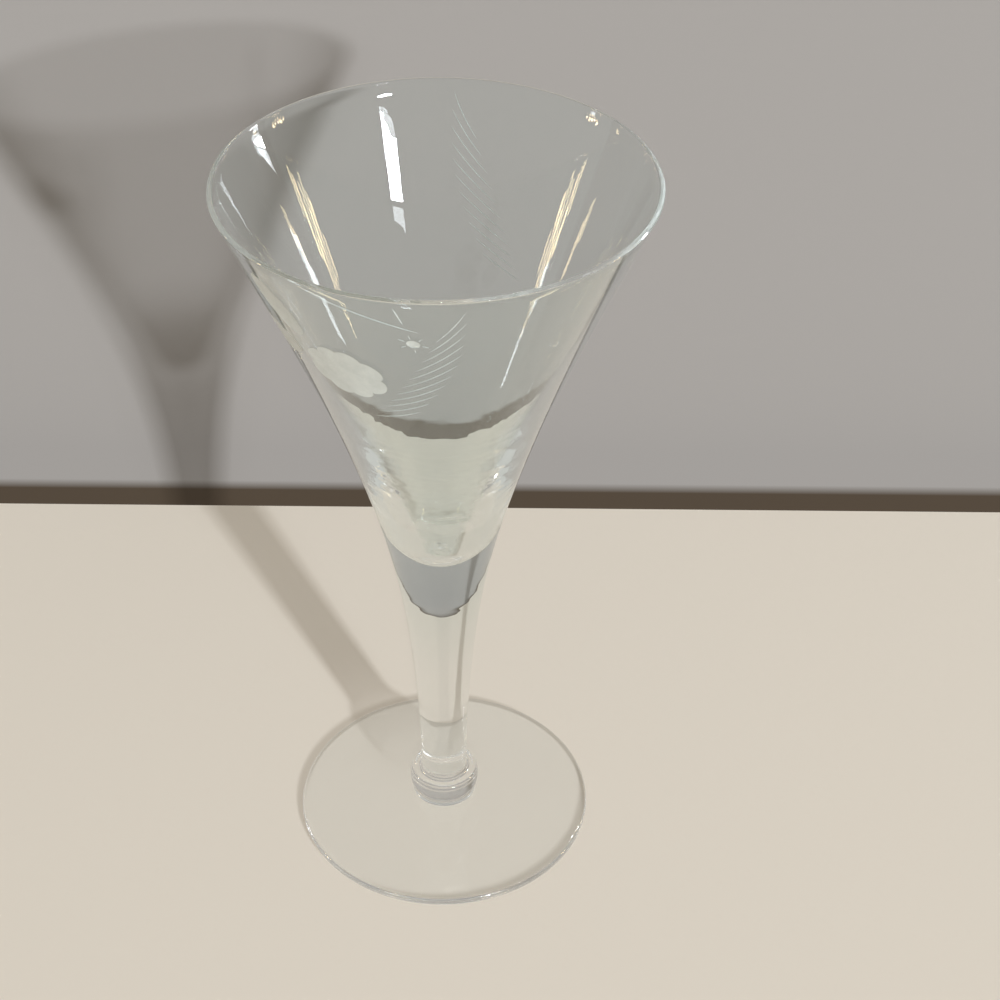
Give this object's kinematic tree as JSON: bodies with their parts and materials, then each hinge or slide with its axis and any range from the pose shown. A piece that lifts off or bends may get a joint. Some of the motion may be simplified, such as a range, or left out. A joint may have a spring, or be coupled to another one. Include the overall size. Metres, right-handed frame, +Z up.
{
  "type": "cocktail glass",
  "caption": "Clear stemmed cocktail glass: an engraved trumpet bowl drawn down into a tapering solid stem, with a small knop on a flat round foot. It holds a drink.",
  "frame": {"origin": "centre of the foot's resting ring, on the surface that the glass stands on", "axes": "+Z up along the glass's axis; X and Y are free, since the solids are turned about Z"},
  "size_m": [0.0792, 0.0792, 0.152],
  "materials": {
    "clear_glass": "clear soda-lime glass, fire-polished and glossy, faintly green through its thickness"
  },
  "bodies": {
    "root": {"bowl": "clear_glass", "stem": "clear_glass", "knop": "clear_glass", "foot": "clear_glass"}
  },
  "joints": []
}
